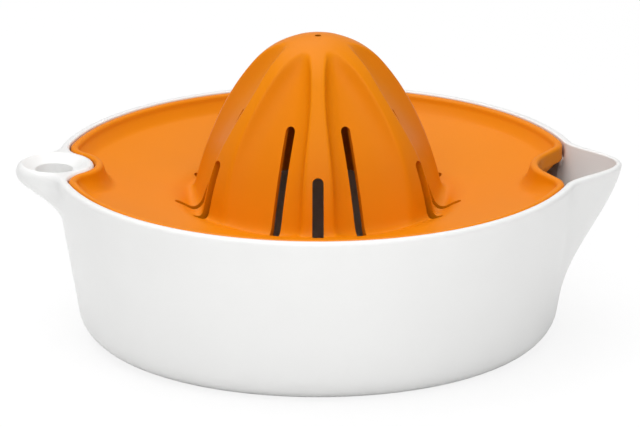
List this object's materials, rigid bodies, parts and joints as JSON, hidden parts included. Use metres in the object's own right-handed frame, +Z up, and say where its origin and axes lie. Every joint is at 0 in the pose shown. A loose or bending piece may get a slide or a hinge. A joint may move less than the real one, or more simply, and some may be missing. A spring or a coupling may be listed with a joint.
{
  "type": "citrus juicer",
  "caption": "Hand citrus juicer: a fluted reamer cone on a slotted strainer tray that drops into a round bowl with a pouring spout and a hanging loop.",
  "frame": {"origin": "middle of the base, on the table, on the axis of the bowl and the cone", "axes": "+X towards the pouring spout, +Z up along the axis of the bowl and the cone"},
  "size_m": [0.177, 0.1546, 0.0903],
  "materials": {
    "bowl_plastic": "satin moulded",
    "insert_plastic": "satin moulded"
  },
  "bodies": {
    "bowl": {"bowl": "bowl_plastic"},
    "insert": {"reamer_insert": "insert_plastic"}
  },
  "joints": [
    {"name": "insert_lift", "type": "slide", "parent": "bowl", "child": "insert", "axis": [0, 0, 1], "range_m": [0, 0.1]}
  ]
}
